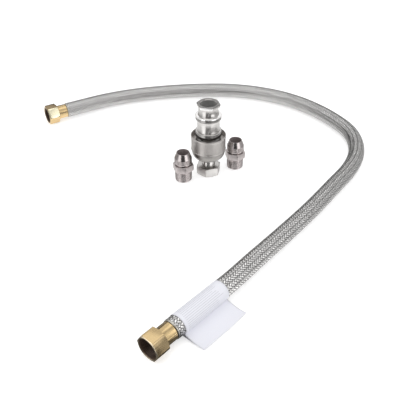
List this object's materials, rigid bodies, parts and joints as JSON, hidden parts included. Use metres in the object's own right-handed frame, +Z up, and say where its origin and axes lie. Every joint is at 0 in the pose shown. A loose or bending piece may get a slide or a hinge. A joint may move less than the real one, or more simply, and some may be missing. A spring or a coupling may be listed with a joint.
{
  "type": "gas connector hose",
  "caption": "Wire-braided flexible gas hose with brass flare nuts, laid in a hook round a quick-disconnect coupling and flare-to-pipe adapters.",
  "frame": {"origin": "on the floor, at the middle of the whole set's box", "axes": "+Z up, +Y from the near nut towards the far run of the hose, +X towards the hose's bend"},
  "size_m": [0.563, 0.6693, 0.1215],
  "materials": {
    "braid": "woven stainless wire",
    "stainless": "satin",
    "brass": "bright machined",
    "label": "matt white film",
    "nickel": "bright turned nickel plate",
    "adapter_steel": "bright plated",
    "spring_steel": "polished",
    "valve_brass": "machined",
    "nitrile": "matt"
  },
  "bodies": {
    "set_base": {"braid_sleeve": "braid", "corrugated_liner": "stainless", "near_end_ring": "stainless", "near_flared_tube": "stainless", "far_end_ring": "stainless", "far_flared_tube": "stainless", "wrap_label": "label", "socket_base": "nickel", "socket_barrel": "nickel", "barrel_oring": "nitrile", "barrel_snap_ring": "spring_steel", "poppet_guide": "valve_brass", "sleeve_spring": "spring_steel", "poppet_spring": "spring_steel"},
    "near_nut": {"near_flare_nut": "brass"},
    "far_nut": {"far_flare_nut": "brass"},
    "sleeve": {"locking_sleeve": "nickel", "sleeve_bell": "nickel"},
    "plug": {"plug_body": "nickel", "plug_spider": "valve_brass"},
    "poppet": {"poppet": "valve_brass", "poppet_seal": "nitrile"},
    "left_adapter": {"left_adapter": "adapter_steel"},
    "right_adapter": {"right_adapter": "adapter_steel"},
    "ball_0": {"lock_ball_0": "spring_steel"},
    "ball_1": {"lock_ball_1": "spring_steel"},
    "ball_2": {"lock_ball_2": "spring_steel"},
    "ball_3": {"lock_ball_3": "spring_steel"},
    "ball_4": {"lock_ball_4": "spring_steel"},
    "ball_5": {"lock_ball_5": "spring_steel"}
  },
  "joints": [
    {"name": "near_nut_spin", "type": "hinge", "parent": "set_base", "child": "near_nut", "pos_m": [-0.03282, -0.30894, 0.0151], "axis": [0.6691, 0.7431, 0], "continuous": true},
    {"name": "far_nut_spin", "type": "hinge", "parent": "set_base", "child": "far_nut", "pos_m": [-0.25624, 0.2228, 0.0151], "axis": [0.848, 0.5299, 0], "continuous": true},
    {"name": "sleeve_slide", "type": "slide", "parent": "set_base", "child": "sleeve", "axis": [0, 0, 1], "range_m": [0, 0.006], "deforming": ["sleeve_spring"]},
    {"name": "plug_pull", "type": "slide", "parent": "set_base", "child": "plug", "axis": [0, 0, 1], "range_m": [0, 0.045]},
    {"name": "poppet_lift", "type": "slide", "parent": "set_base", "child": "poppet", "axis": [0, 0, 1], "range_m": [0, 0.0035], "deforming": ["poppet_spring"]},
    {"name": "left_adapter_lift", "type": "slide", "parent": "set_base", "child": "left_adapter", "axis": [0, 0, 1], "range_m": [0, 0.08]},
    {"name": "right_adapter_lift", "type": "slide", "parent": "set_base", "child": "right_adapter", "axis": [0, 0, 1], "range_m": [0, 0.08]},
    {"name": "ball_0_in", "type": "slide", "parent": "set_base", "child": "ball_0", "axis": [-1, 0, 0], "range_m": [0, 0.0015]},
    {"name": "ball_1_in", "type": "slide", "parent": "set_base", "child": "ball_1", "axis": [-0.5, -0.866, 0], "range_m": [0, 0.0015]},
    {"name": "ball_2_in", "type": "slide", "parent": "set_base", "child": "ball_2", "axis": [0.5, -0.866, 0], "range_m": [0, 0.0015]},
    {"name": "ball_3_in", "type": "slide", "parent": "set_base", "child": "ball_3", "axis": [1, 0, 0], "range_m": [0, 0.0015]},
    {"name": "ball_4_in", "type": "slide", "parent": "set_base", "child": "ball_4", "axis": [0.5, 0.866, 0], "range_m": [0, 0.0015]},
    {"name": "ball_5_in", "type": "slide", "parent": "set_base", "child": "ball_5", "axis": [-0.5, 0.866, 0], "range_m": [0, 0.0015]}
  ],
  "couplings": [
    {"joint": "poppet_lift", "follows": "plug_pull", "ratio": 0.077778},
    {"joint": "ball_0_in", "follows": "sleeve_slide", "ratio": 0.25},
    {"joint": "ball_1_in", "follows": "sleeve_slide", "ratio": 0.25},
    {"joint": "ball_2_in", "follows": "sleeve_slide", "ratio": 0.25},
    {"joint": "ball_3_in", "follows": "sleeve_slide", "ratio": 0.25},
    {"joint": "ball_4_in", "follows": "sleeve_slide", "ratio": 0.25},
    {"joint": "ball_5_in", "follows": "sleeve_slide", "ratio": 0.25}
  ]
}
